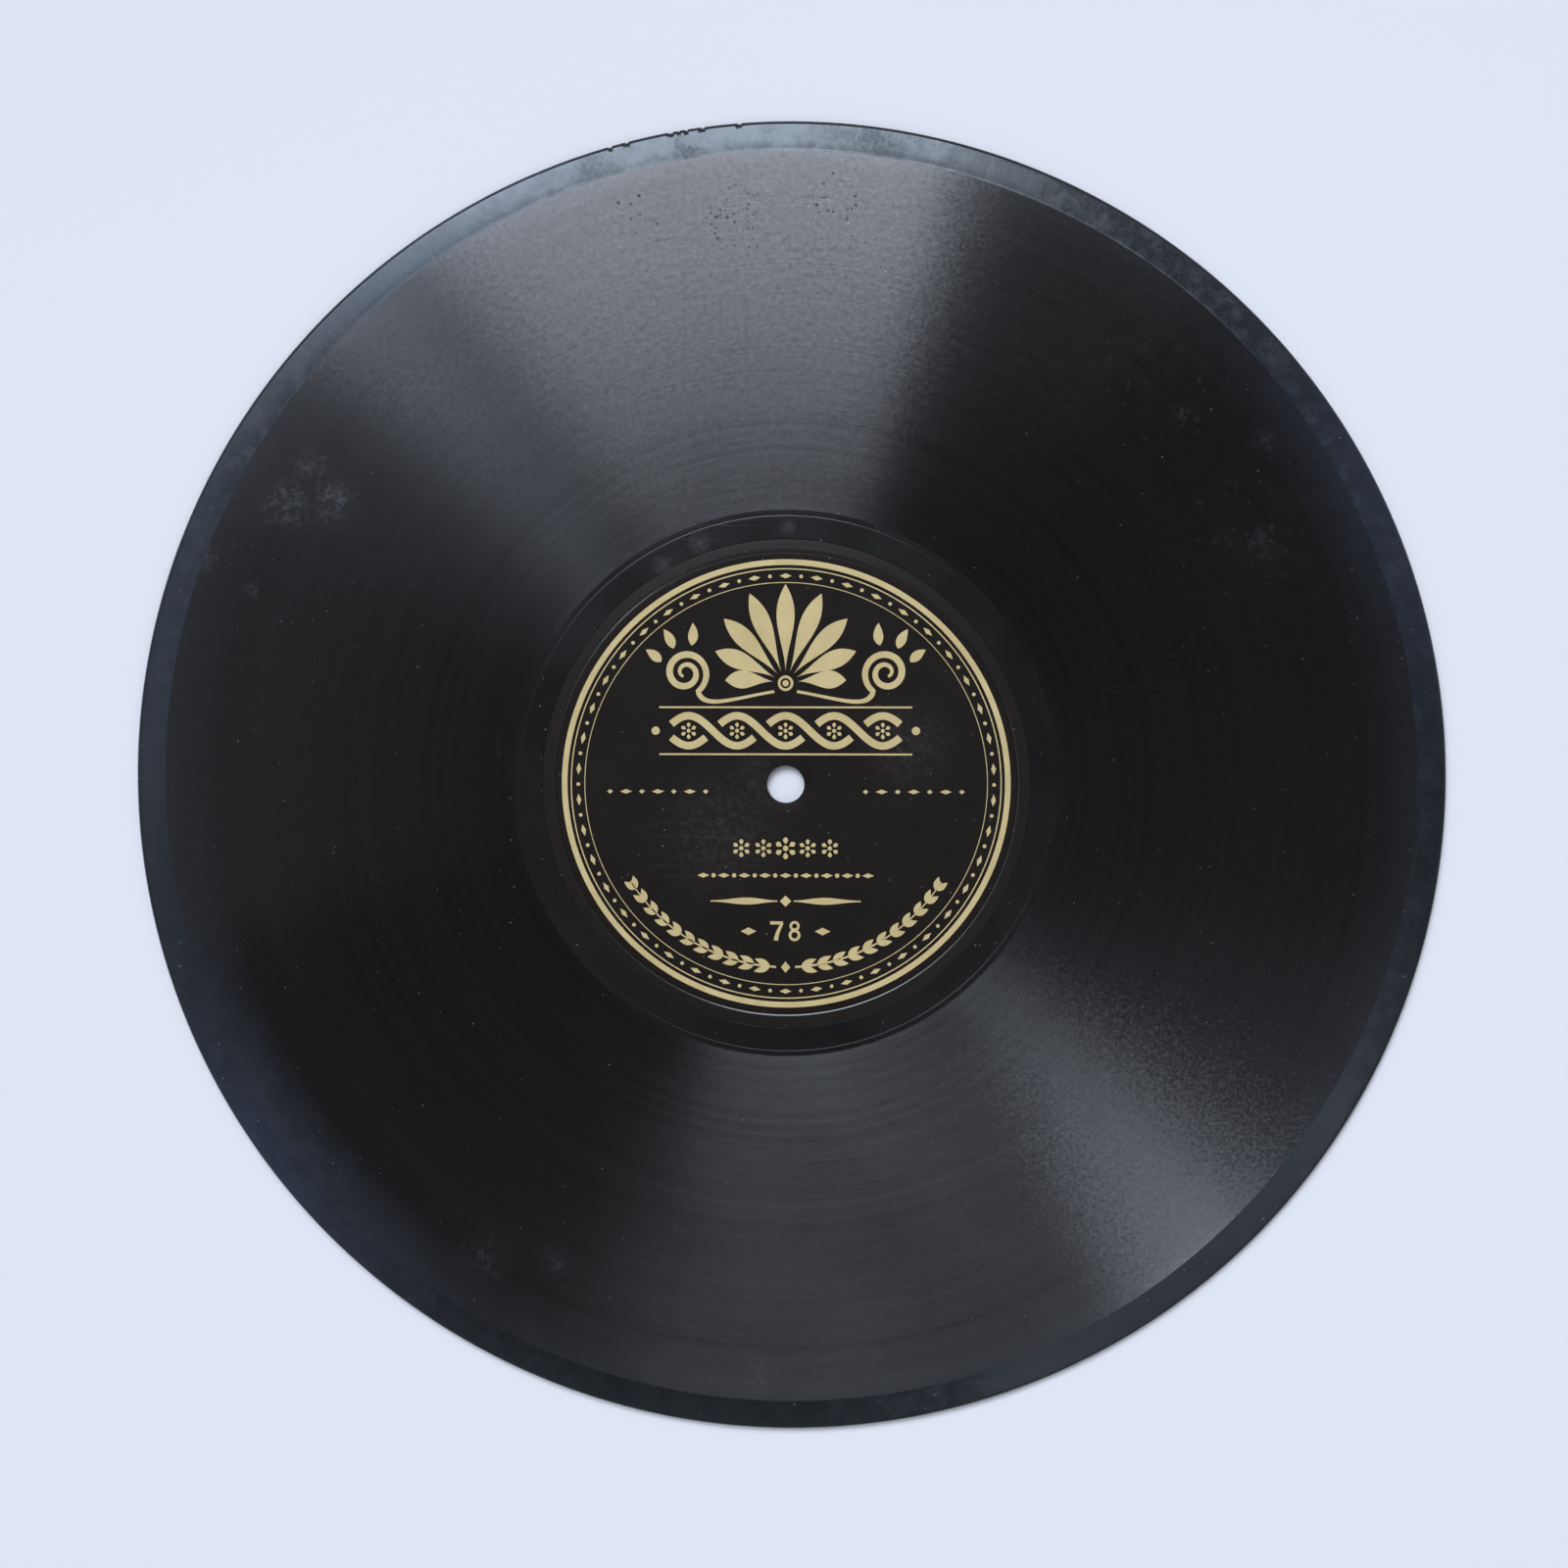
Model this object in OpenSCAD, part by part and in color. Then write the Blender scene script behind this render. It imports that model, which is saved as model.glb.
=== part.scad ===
// Ten inch shellac record, recorded on both sides: one pressed disc with a spiral groove in each face
// and a paper label seated just below each face. Millimetres, +Z up out of side A, origin at the
// middle of the spindle hole on the lower face.

/* [Disc] */
// Diameter over the rim
disc_d = 254; // [240:1:310]
// Thickness over the playing faces
disc_t = 2.1; // [1.6:0.1:3]
// Diameter of the spindle hole, through the disc and both labels
spindle_hole_d = 7.26; // [7:0.02:9]
// Width of the smooth margin between the rim and the start of the groove
margin_w = 5.6; // [3:0.1:9]
// Radius of the crown on which the margin falls away to the rim
margin_crown_r = 60; // [50:1:120]

/* [Groove] */
// Distance from one turn of the groove to the next, rounded so that whole turns fill the playing face
groove_pitch = 1; // [0.8:0.05:2]
// Width of the groove at the face
groove_w = 0.16; // [0.1:0.01:0.25]
// Depth of the groove
groove_depth = 0.07; // [0.04:0.01:0.12]
// Width of the blank ring between the last turn and the stop groove
runout_w = 0.85; // [0.5:0.05:4]
// Width of the closed stop groove at the face
stop_groove_w = 0.4; // [0.2:0.05:0.8]
// Depth of the closed stop groove
stop_groove_depth = 0.15; // [0.05:0.01:0.25]
// Width of the blank land between the stop groove and the label
land_w = 4.35; // [2:0.05:10]

/* [Label] */
// Diameter of the paper label
label_d = 94.8; // [70:0.1:105]
// Thickness of the paper
label_t = 0.15; // [0.08:0.01:0.3]
// Depth of the label's face below the land around it
label_sink = 0.08; // [0.05:0.01:0.2]
// Width of the label outside the ring pressed into it
label_border_w = 2.3; // [1:0.1:6]
// Width of the ring pressed into the label
label_ring_w = 0.5; // [0.3:0.05:1.2]
// Depth of the ring pressed into the label
label_ring_depth = 0.1; // [0.05:0.01:0.2]

/* [Hidden] */
$fn = 180;
disc_r = disc_d / 2;
hole_r = spindle_hole_d / 2;
label_r = label_d / 2;
label_z = disc_t - label_sink;
label_ring_r = label_r - label_border_w - label_ring_w / 2;
stop_groove_r = label_r + land_w + stop_groove_w / 2;
margin_r = disc_r - margin_w;
// The rim is a full round that runs tangent into the crowns of both margins
rim_r = (disc_t * margin_crown_r - disc_t * disc_t / 4 - margin_w * margin_w)
    / (2 * (margin_crown_r - margin_w));
rim_at = disc_r - rim_r;
crown_end = margin_r + (rim_at - margin_r) * margin_crown_r / (margin_crown_r - rim_r);
// Innermost point of the groove, which whole turns reach from the margin at a pitch near the one asked for
last_turn_r = stop_groove_r + stop_groove_w / 2 + runout_w + groove_w / 2;
turns = round((margin_r - last_turn_r) / groove_pitch - 0.5);
// The turns lie on a grid of whole micrometres, on which the half turns meet each other without rounding
turn_grid = 0.001;
turn_pitch = 2 * turn_grid * floor((margin_r - last_turn_r) / (turns + 0.5) / (2 * turn_grid));
first_turn_r = turn_grid * floor((margin_r - turn_pitch / 2) / turn_grid);
// Straight step by which one half turn passes into the next
turn_step = 0.05;
// Height to which the cutters stand above the face
clear_z = 1;

// Turns what is drawn for side A over on to side B
module on_side_b() {
    translate([0, 0, disc_t]) rotate([180, 0, 0]) children();
}

// Half section of the disc without its grooves and seats: flat faces, crowned margins, round rim
module blank_section() {
    translate([hole_r, 0]) square([margin_r - hole_r, disc_t]);
    intersection() {
        translate([margin_r, disc_t - margin_crown_r]) circle(margin_crown_r);
        translate([margin_r, margin_crown_r]) circle(margin_crown_r);
        translate([margin_r, 0]) square([crown_end - margin_r, disc_t]);
    }
    translate([rim_at, disc_t / 2]) circle(rim_r);
}

// A face of the label, from the spindle hole out, with the pressed ring
function label_line(z) = [
    [hole_r, z],
    [label_ring_r - label_ring_w / 2, z],
    [label_ring_r, z - label_ring_depth],
    [label_ring_r + label_ring_w / 2, z],
    [label_r, z]
];

function turned_round(line) = [for (i = [len(line) - 1:-1:0]) line[i]];

// Section of everything turned out of side A except the playing groove
module face_cut_section() {
    // label seat
    polygon(concat(label_line(label_z - label_t),
                   [[label_r, disc_t + clear_z], [hole_r, disc_t + clear_z]]));
    // stop groove
    slope = stop_groove_depth / (stop_groove_w / 2);
    translate([stop_groove_r, disc_t])
        polygon([[0, -stop_groove_depth], [clear_z / slope + stop_groove_w / 2, clear_z],
                 [-clear_z / slope - stop_groove_w / 2, clear_z]]);
}

// Section of one half of the groove: a V for each turn, its flanks running on until they meet
// above the face
module turns_section(outer_turn_r) {
    crest_z = groove_depth * (turn_pitch / groove_w - 1);
    inner_turn_r = outer_turn_r - (turns - 1) * turn_pitch;
    translate([0, disc_t])
        polygon(concat(
            [[outer_turn_r + turn_pitch / 2, crest_z], [outer_turn_r + turn_pitch / 2, crest_z + clear_z],
             [inner_turn_r - turn_pitch / 2, crest_z + clear_z]],
            [for (k = [turns - 1:-1:0], r = [outer_turn_r - k * turn_pitch]) each
                [[r - turn_pitch / 2, crest_z], [r, -groove_depth]]]
        ));
}

// The groove is one line from the margin to the label: half turns about the spindle on the +Y side,
// and half turns about a centre half a pitch away on the -Y side, each leading to the next turn in
module even_half_turns() {
    rotate_extrude(angle = 180) turns_section(first_turn_r);
}

module inward_half_turns() {
    translate([-turn_pitch / 2, -turn_step, 0]) rotate(180)
        rotate_extrude(angle = 180) turns_section(first_turn_r - turn_pitch / 2);
}

// Straight steps between the two halves, on the +X side and on the -X side
module near_half_turn_step() {
    rotate([90, 0, 0]) linear_extrude(turn_step) turns_section(first_turn_r);
}

module far_half_turn_step() {
    translate([0, -turn_step, 0]) rotate(180) near_half_turn_step();
}

module shellac_disc() {
    color([0.07, 0.07, 0.075])
        difference() {
            rotate_extrude() difference() {
                blank_section();
                face_cut_section();
                translate([0, disc_t]) mirror([0, 1]) face_cut_section();
            }
            even_half_turns();
            inward_half_turns();
            near_half_turn_step();
            far_half_turn_step();
            on_side_b() even_half_turns();
            on_side_b() inward_half_turns();
            on_side_b() near_half_turn_step();
            on_side_b() far_half_turn_step();
        }
}

module label_side_a() {
    color([0.14, 0.11, 0.1])
        rotate_extrude() polygon(concat(label_line(label_z - label_t), turned_round(label_line(label_z))));
}

module label_side_b() {
    on_side_b() label_side_a();
}

shellac_disc();
label_side_a();
label_side_b();
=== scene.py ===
import math

import bpy
from mathutils import Matrix, Vector

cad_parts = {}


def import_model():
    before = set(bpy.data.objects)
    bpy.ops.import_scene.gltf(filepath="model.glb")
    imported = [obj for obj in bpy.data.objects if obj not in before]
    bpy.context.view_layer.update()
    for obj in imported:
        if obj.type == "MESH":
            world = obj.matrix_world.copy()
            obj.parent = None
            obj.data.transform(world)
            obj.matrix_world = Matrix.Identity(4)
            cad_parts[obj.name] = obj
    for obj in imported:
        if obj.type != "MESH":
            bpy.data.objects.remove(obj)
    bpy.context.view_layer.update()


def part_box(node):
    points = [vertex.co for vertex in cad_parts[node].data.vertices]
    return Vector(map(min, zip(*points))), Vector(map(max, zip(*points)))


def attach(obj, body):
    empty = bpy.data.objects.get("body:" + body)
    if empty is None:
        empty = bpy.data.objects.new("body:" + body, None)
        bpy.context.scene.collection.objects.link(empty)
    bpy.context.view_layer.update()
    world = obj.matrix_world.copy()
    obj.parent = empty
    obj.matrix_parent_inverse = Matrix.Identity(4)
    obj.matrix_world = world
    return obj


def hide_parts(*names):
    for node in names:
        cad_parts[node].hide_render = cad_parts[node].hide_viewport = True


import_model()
scene = bpy.context.scene

# Sizes in millimetres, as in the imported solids. Blender's own unit is the metre.
MM = 0.001


def box_reach(box):
    """How far a solid's box goes along X, Y and Z, rounded to whole micrometres."""
    return [round(high / MM, 3) for high in box[1]]


disc_reach = box_reach(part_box("shellac_disc"))
label_reach = box_reach(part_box("label_side_a"))

# How far the dressed rim stays inside the solid's
RIM_CLEAR = 0.01
DISC_R = disc_reach[0] - RIM_CLEAR
DISC_T = disc_reach[2]
HOLE_R = 3.63
MARGIN_R = 121.4
MARGIN_W = DISC_R - MARGIN_R
CROWN_R = 60.0
GROOVE_END_R = 53.0
STOP_GROOVE_R = 51.95
STOP_GROOVE_W = 0.18
STOP_GROOVE_DEPTH = 0.017

LABEL_R = label_reach[0]
LABEL_T = 0.15
LABEL_SINK = 0.08
LABEL_RING_R = 44.85
LABEL_RING_W = 0.7
LABEL_RING_DEPTH = 0.07
# How far the paper's border, outside the pressed ring, falls towards its edge
BORDER_FALL = 0.03
# How far the paper stays back from the wall of the spindle hole and from that of its seat
LABEL_HOLE_CLEAR = 0.01
LABEL_SEAT_CLEAR = 0.02

# The rim is a full round that runs tangent into the crowns of both margins
RIM_R = (DISC_T * CROWN_R - DISC_T ** 2 / 4 - MARGIN_W ** 2) / (2 * (CROWN_R - MARGIN_W))
RIM_AT = DISC_R - RIM_R

# How far the margin lies below the playing face where they meet
STEP = 0.012

# Radius of the small round between the label's seat and the land
SEAT_ROUND = 0.03

# Points this close to an edge keep the faces beside it flat in their shading
EDGE = 0.1

# How far the face of the ink lies below the disc's flat land, and how deep it reaches into the paper
INK_SINK = 0.062
INK_ROOT = 0.006
# Difference in height between shapes of ink that meet, and how many heights there are
INK_LAYER = 0.003
INK_LAYERS = 3
THINNEST_STROKE = 0.02

DISC_SEGMENTS = 640
LABEL_SEGMENTS = 320
FULL_TURN = 2 * math.pi


# Meshes

def new_piece(name, verts, faces, slots=(), face_slots=None, uvs=None, smooth=True):
    """A mesh object from points in millimetres."""
    mesh = bpy.data.meshes.new(name)
    mesh.from_pydata([(x * MM, y * MM, z * MM) for x, y, z in verts], [], faces)
    for material in slots:
        mesh.materials.append(material)
    if face_slots:
        mesh.polygons.foreach_set("material_index", face_slots)
    mesh.polygons.foreach_set("use_smooth", [smooth] * len(mesh.polygons))
    if uvs:
        layer = mesh.uv_layers.new(name="OFBake")
        layer.data.foreach_set("uv", uvs)
    mesh.update()
    piece = bpy.data.objects.new(name, mesh)
    scene.collection.objects.link(piece)
    return piece


def revolve(name, profile, turns, slots, slot_of=None, shift=None):
    """A closed ring swept round Z from a closed profile of (radius, height) points.

    The map runs round the disc in u and along the profile in v, so texture pixels are finest across
    the grooves.
    """
    count = len(profile)
    lengths = [0.0]
    for i in range(count):
        lengths.append(lengths[-1] + math.dist(profile[i], profile[(i + 1) % count]))
    run = [length / lengths[-1] for length in lengths]
    verts, faces, face_slots, uvs = [], [], [], []
    for turn in turns:
        for r, z in profile:
            if shift:
                r, z = shift(r, z, turn)
            verts.append((r * math.cos(turn), r * math.sin(turn), z))
    ends = [turn / FULL_TURN for turn in turns] + [1.0]
    for s in range(len(turns)):
        t = (s + 1) % len(turns)
        u0, u1 = ends[s], ends[s + 1]
        for i in range(count):
            j = (i + 1) % count
            faces.append((s * count + i, s * count + j, t * count + j, t * count + i))
            uvs += [u0, run[i], u0, run[i + 1], u1, run[i + 1], u1, run[i]]
            if slot_of:
                face_slots.append(slot_of(profile[i], profile[j]))
    return new_piece(name, verts, faces, slots, face_slots, uvs)


def dip(r, middle, width, depth):
    """A rounded groove: how far the face lies below its level at radius r."""
    x = abs(r - middle) / (width / 2)
    return depth * (0.5 + 0.5 * math.cos(math.pi * x)) if x < 1 else 0.0


def spaced(start, stop, step):
    """Even steps from start to stop, as near to the given step as whole steps allow."""
    count = max(1, round((stop - start) / step))
    return [start + (stop - start) * i / count for i in range(count + 1)]


def round_turns(count):
    """Even directions all round, in radians."""
    return [FULL_TURN * i / count for i in range(count)]


# Material nodes

class Look:
    """A node material with short calls for the nodes that the looks here use.

    Lengths are in millimetres and the scales of noise in waves per millimetre.
    """

    def __init__(self, name):
        self.material = bpy.data.materials.new(name)
        self.material.use_nodes = True
        self.tree = self.material.node_tree
        self.shader = self.tree.nodes["Principled BSDF"]
        place = self.node("ShaderNodeTexCoord")
        scale = self.node("ShaderNodeVectorMath", operation="SCALE")
        self.link(place.outputs["Object"], scale.inputs[0])
        scale.inputs["Scale"].default_value = 1 / MM
        self.mm = scale.outputs[0]
        split = self.node("ShaderNodeSeparateXYZ")
        self.link(self.mm, split.inputs[0])
        self.x = split.outputs["X"]
        self.y = split.outputs["Y"]
        self.r = self.far(self.x, self.y)

    def node(self, kind, **settings):
        node = self.tree.nodes.new(kind)
        for key, value in settings.items():
            setattr(node, key, value)
        return node

    def link(self, value, socket):
        """Joins another node's output to the socket, or sets the socket to a plain value."""
        if hasattr(value, "is_output"):
            self.tree.links.new(value, socket)
        elif value is not None:
            socket.default_value = value

    def math(self, operation, a, b=None):
        node = self.node("ShaderNodeMath", operation=operation)
        self.link(a, node.inputs[0])
        self.link(b, node.inputs[1])
        return node.outputs[0]

    def chain(self, operation, values):
        """Several values joined one after another by the same operation."""
        joined = values[0]
        for value in values[1:]:
            joined = self.math(operation, joined, value)
        return joined

    def times(self, *values):
        return self.chain("MULTIPLY", values)

    def plus(self, *values):
        return self.chain("ADD", values)

    def most(self, *values):
        return self.chain("MAXIMUM", values)

    def minus(self, a, b):
        return self.math("SUBTRACT", a, b)

    def far(self, across, along):
        """Length of the way that goes so far across and so far along."""
        return self.math("SQRT", self.plus(self.times(across, across), self.times(along, along)))

    def span(self, value, low, high, to_low=0.0, to_high=1.0, smooth=True):
        """Maps low..high to to_low..to_high, held at both ends."""
        node = self.node("ShaderNodeMapRange", interpolation_type="SMOOTHSTEP" if smooth else "LINEAR")
        self.link(value, node.inputs["Value"])
        node.inputs["From Min"].default_value = low
        node.inputs["From Max"].default_value = high
        node.inputs["To Min"].default_value = to_low
        node.inputs["To Max"].default_value = to_high
        return node.outputs["Result"]

    def vector(self, x, y, z):
        node = self.node("ShaderNodeCombineXYZ")
        for value, socket in zip((x, y, z), node.inputs):
            self.link(value, socket)
        return node.outputs[0]

    def stretch(self, scale, turn):
        """The place on the face, turned by some degrees and scaled differently each way."""
        node = self.node("ShaderNodeMapping")
        self.link(self.mm, node.inputs["Vector"])
        node.inputs["Scale"].default_value = scale
        node.inputs["Rotation"].default_value = (0.0, 0.0, math.radians(turn))
        return node.outputs[0]

    def noise(self, vector, scale, detail, rough=0.55):
        node = self.node("ShaderNodeTexNoise")
        self.link(vector, node.inputs["Vector"])
        node.inputs["Scale"].default_value = scale
        node.inputs["Detail"].default_value = detail
        node.inputs["Roughness"].default_value = rough
        return node.outputs["Fac"]

    def cells(self, vector, scale, feature="F1", dimensions="3D"):
        node = self.node("ShaderNodeTexVoronoi", feature=feature, voronoi_dimensions=dimensions)
        self.link(vector, node.inputs["Vector"])
        node.inputs["Scale"].default_value = scale
        return node

    def mix(self, share, a, b):
        """Colour a, with this share of colour b. A mix node keeps its colours in sockets 6 and 7."""
        node = self.node("ShaderNodeMix", data_type="RGBA")
        self.link(share, node.inputs[0])
        for value, socket in ((a, node.inputs[6]), (b, node.inputs[7])):
            self.link((*value, 1.0) if isinstance(value, tuple) else value, socket)
        return node.outputs[2]

    def ring(self, middle, width):
        """1 on a circle of this radius, falling to 0 at half the width on both sides."""
        away = self.math("ABSOLUTE", self.minus(self.r, middle))
        return self.span(away, 0.0, width / 2, 1.0, 0.0)

    def spot(self, x, y, radius):
        """1 at a point of the face, falling to 0 at the radius."""
        away = self.far(self.minus(self.x, x), self.minus(self.y, y))
        return self.span(away, 0.0, radius, 1.0, 0.0)

    def marks(self, spots):
        """The strongest of several spots, each given by its place and radius."""
        return self.most(*[self.spot(*spot) for spot in spots])

    def specks(self, spacing, share, radius):
        """Small round specks of uneven strength, in this share of cells of the given spacing."""
        node = self.cells(self.mm, 1 / spacing, dimensions="2D")
        core = 0.4 * radius
        weakest = 0.2
        dot = self.span(node.outputs["Distance"], core / spacing, radius / spacing, 1.0, 0.0)
        chance = self.node("ShaderNodeSeparateColor")
        self.link(node.outputs["Color"], chance.inputs[0])
        strength = self.span(chance.outputs["Green"], 0.0, 1.0, weakest, 1.0, smooth=False)
        return self.times(dot, strength, self.math("LESS_THAN", chance.outputs["Red"], share))

    def hairlines(self, turn, threshold):
        """Long thin scratches that run one way, in patches where a noise is over the threshold."""
        long_cells = self.stretch((0.018, 0.32, 1.0), turn)
        wide_patches = self.stretch((0.02, 0.02, 0.02), turn + 31)
        lines = self.cells(long_cells, 1.0, "DISTANCE_TO_EDGE")
        thin = self.span(lines.outputs["Distance"], 0.0, 0.012, 1.0, 0.0)
        patch = self.noise(wide_patches, scale=1.0, detail=1.0)
        return self.times(thin, self.span(patch, threshold, threshold + 0.06))

    def bump(self, height, strength, distance, over=None):
        node = self.node("ShaderNodeBump")
        node.inputs["Strength"].default_value = strength
        node.inputs["Distance"].default_value = distance * MM
        self.link(height, node.inputs["Height"])
        if over:
            self.link(over, node.inputs["Normal"])
        return node.outputs["Normal"]

    def dished(self, start, end, lean_in, lean_out, wobble=0.0, waver=0.0):
        """The normal of a face not quite flat: leaning in at the start and out at the end, in degrees.

        Wobble is a slope added across the grooves, and waver one along them.
        """
        flat = self.node("ShaderNodeNewGeometry").outputs["Normal"]
        rise = -math.tan(math.radians(lean_in))
        fall = math.tan(math.radians(lean_out))
        lean = self.plus(self.span(self.r, start, end, rise, fall, smooth=False), wobble)
        across = self.math("DIVIDE", lean, self.r)
        along = self.math("DIVIDE", waver, self.r)
        tilt_x = self.minus(self.times(self.x, across), self.times(self.y, along))
        tilt_y = self.plus(self.times(self.y, across), self.times(self.x, along))
        out = self.node("ShaderNodeVectorMath", operation="ADD")
        self.link(flat, out.inputs[0])
        self.link(self.vector(tilt_x, tilt_y, 0.0), out.inputs[1])
        unit = self.node("ShaderNodeVectorMath", operation="NORMALIZE")
        self.link(out.outputs[0], unit.inputs[0])
        return unit.outputs[0]

    def set(self, **sockets):
        """Sets the shader's sockets, named with _ for a space."""
        for key, value in sockets.items():
            self.link((*value, 1.0) if isinstance(value, tuple) else value,
                      self.shader.inputs[key.replace("_", " ")])


# Colours, in linear light
SHELLAC = (0.0037, 0.0033, 0.0031)
SHELLAC_LOUD = (0.0055, 0.0052, 0.0051)
SHELLAC_CLOUD = (0.0052, 0.0049, 0.0049)
DULLED = (0.0118, 0.0125, 0.0145)
# Painted bluish sheen, standing in for daylight reflected in the glossy shellac
PAINTED_SHEEN = (0.024, 0.030, 0.045)
HAZE = (0.052, 0.054, 0.061)
STAIN = (0.017, 0.0135, 0.012)
FLECK = (0.024, 0.0225, 0.022)
GROOVE_SCRATCH = (0.06, 0.06, 0.064)
GROOVE_DUST = (0.3, 0.29, 0.27)
# Painted highlight: a pale line of light along the step where the playing face meets the margin
STEP_HIGHLIGHT = (0.07, 0.07, 0.072)
SCUFF = (0.045, 0.043, 0.041)
SHELLAC_DUST = (0.28, 0.27, 0.25)
MARGIN_SHINE = (0.84, 0.94, 1.0)
LAND = (0.0050, 0.0046, 0.0043)
LAND_CLOUD = (0.0072, 0.0067, 0.0063)
LAND_FADED = (0.0118, 0.0108, 0.0101)
SMUDGE = (0.05, 0.051, 0.055)
LAND_SCRATCH = (0.05, 0.05, 0.053)
PAPER = (0.0088, 0.0063, 0.0050)
PAPER_FIBRE = (0.0120, 0.0088, 0.0073)
PAPER_CLOUD = (0.0150, 0.0112, 0.0094)
PAPER_BORDER = (0.0165, 0.0132, 0.0117)
PAPER_RUBBED = (0.085, 0.079, 0.074)
PAPER_SCRATCH = (0.09, 0.082, 0.075)
PAPER_DUST = (0.34, 0.31, 0.27)
GOLD = (0.50, 0.385, 0.17)
GOLD_LIGHT = (0.58, 0.455, 0.215)
GOLD_DARK = (0.40, 0.30, 0.12)
GOLD_WORN = (0.08, 0.06, 0.035)
FLOOR_DIM = (0.735, 0.735, 0.755)
FLOOR_PALE = (0.76, 0.76, 0.78)

# Places of wear, and of painted highlight and painted sheen where said below, as the photograph shows
# them: x, y and radius of spots on the face
HAZY = [(-87.8, 54.5, 7), (-96.8, 54.5, 7.5), (-92, 62, 5), (-113, 44, 4), (-103.9, 37.9, 2.4)]
FAINTLY_HAZY = [(91, 66, 4), (91, 46.4, 6), (76, 71, 4), (-59, -93, 7), (-45, -94, 5), (-6, -116, 6)]
STAINED = [(70, 82, 34), (91, 50, 28)]
PITTED = [(-10, 108, 9), (-28.5, 109.6, 6), (9.5, 113, 7)]
GRAINY = (78, -52, 62)
# Spots of painted bluish sheen on the playing face and the margin, standing in for reflected daylight
SHEEN_SPOTS = [(-99, -69, 58), (-60, 108, 45)]
FAINT_SHEEN_SPOT = (112, 62, 50)
MARGIN_SHEEN_SPOTS = [(-122, 30, 80), (118, 46, 62)]
MARGIN_WORN = [(17, 123, 9), (-36, 118, 8), (-19, 121, 5)]
MARGIN_DULL = (80, -96, 62)
# Where the painted highlight lies along the step at the margin's inner edge
LIT_STEP_SPOTS = [(25, 119, 42), (72, 99, 36)]
SMUDGED = [(-16.7, 46.6, 3.2), (-24.0, 42.3, 2.6), (0.4, 49.5, 2.2)]
FADED = (-36, -34, 62)
RUBBED = [(-13, -9, 17), (-4, 1, 9), (24, 8, 12)]

# Radii between which the film on the shellac grows, and between which the rim is scuffed
FILM_START_R = 109.0
FILM_END_R = 126.0
SCUFF_START_R = 125.2
SCUFF_END_R = 126.7


def filmed_with_sheen(look, colour):
    """The colour under a dulled film that grows towards the rim, with a painted bluish sheen on parts of
    it that stands in for reflected daylight.
    """
    mottle = look.span(look.noise(look.mm, scale=0.22, detail=5.0, rough=0.7), 0.28, 0.68, 0.6, 1.0)
    film = look.times(mottle, look.span(look.r, FILM_START_R, FILM_END_R))
    # Where the painted bluish sheen lies over the film
    patches = look.most(look.marks(SHEEN_SPOTS), look.times(look.spot(*FAINT_SHEEN_SPOT), 0.4))
    return look.mix(look.times(film, patches), look.mix(film, colour, DULLED), PAINTED_SHEEN)


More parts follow.
